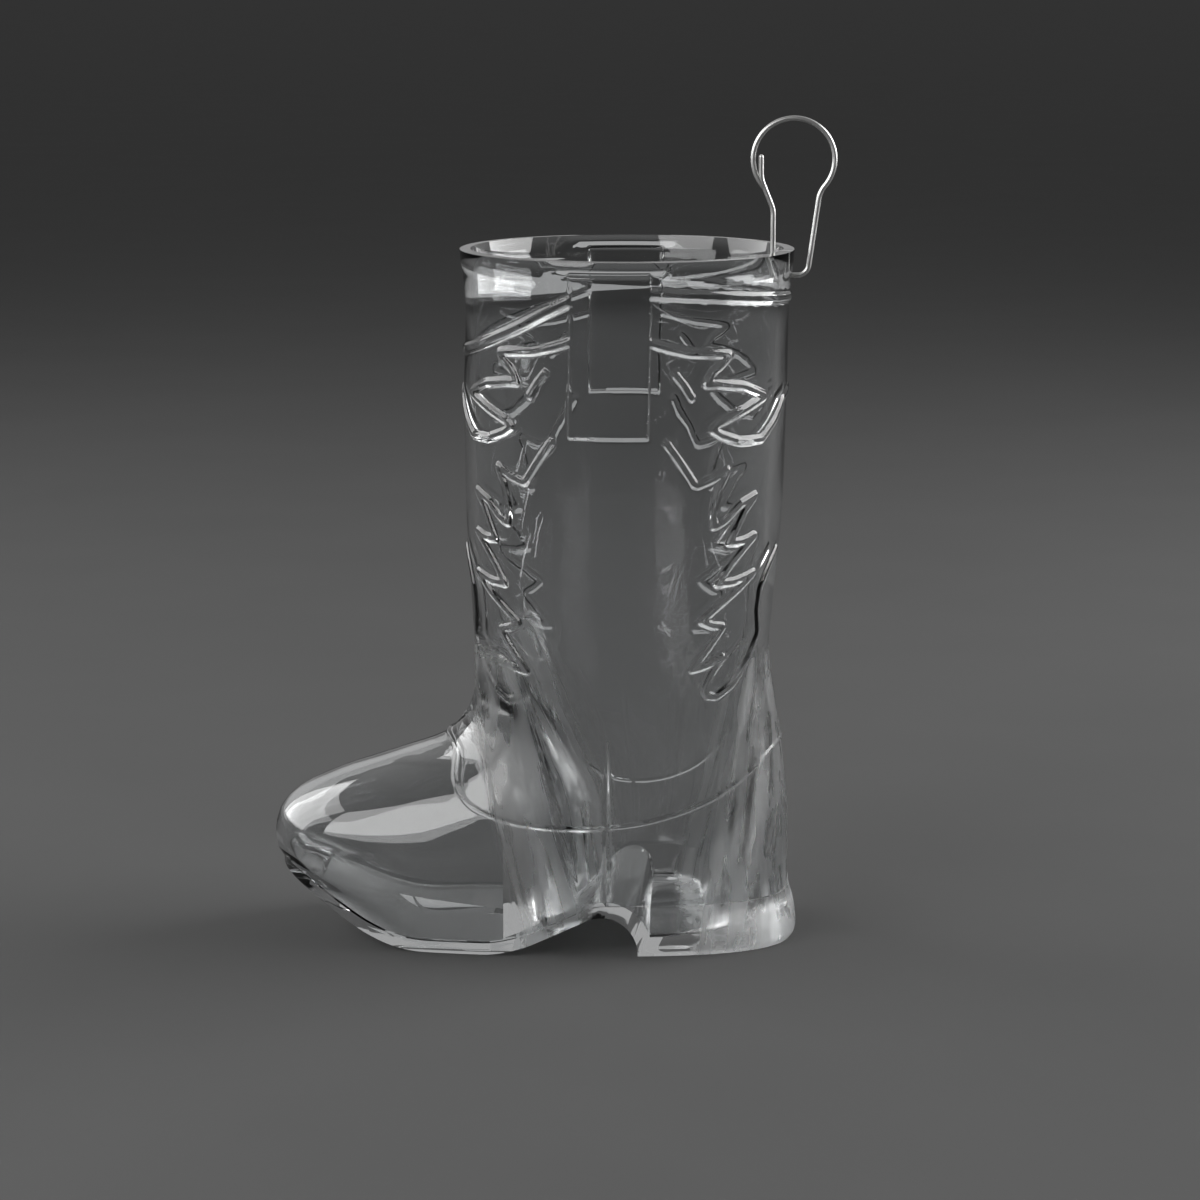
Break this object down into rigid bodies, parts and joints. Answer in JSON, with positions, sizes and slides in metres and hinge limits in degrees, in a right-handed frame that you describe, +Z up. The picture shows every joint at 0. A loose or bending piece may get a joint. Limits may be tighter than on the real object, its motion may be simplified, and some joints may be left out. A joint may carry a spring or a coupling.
{
  "type": "boot shot glass",
  "caption": "Clear moulded western boot that serves as a small drinking glass, with raised flame stitching, a bonded sole and heel, and a wire hook that swings in a hole under the rim.",
  "frame": {"origin": "middle of the bounding box at ground level, under the foot", "axes": "+Z up along the shaft, -X towards the toe, Y across the foot"},
  "size_m": [0.0622, 0.0368, 0.0903],
  "materials": {
    "clear_boot": "clear, polished",
    "clear_sole": "clear, polished",
    "wire": "drawn wire"
  },
  "bodies": {
    "boot": {"boot_upper": "clear_boot", "sole_heel": "clear_sole"},
    "hook": {"wire_hook": "wire"}
  },
  "joints": [
    {"name": "hook_swing", "type": "hinge", "parent": "boot", "child": "hook", "pos_m": [0.0258, 0, 0.0731], "axis": [1, 0, 0], "range_deg": [-45, 45]}
  ]
}
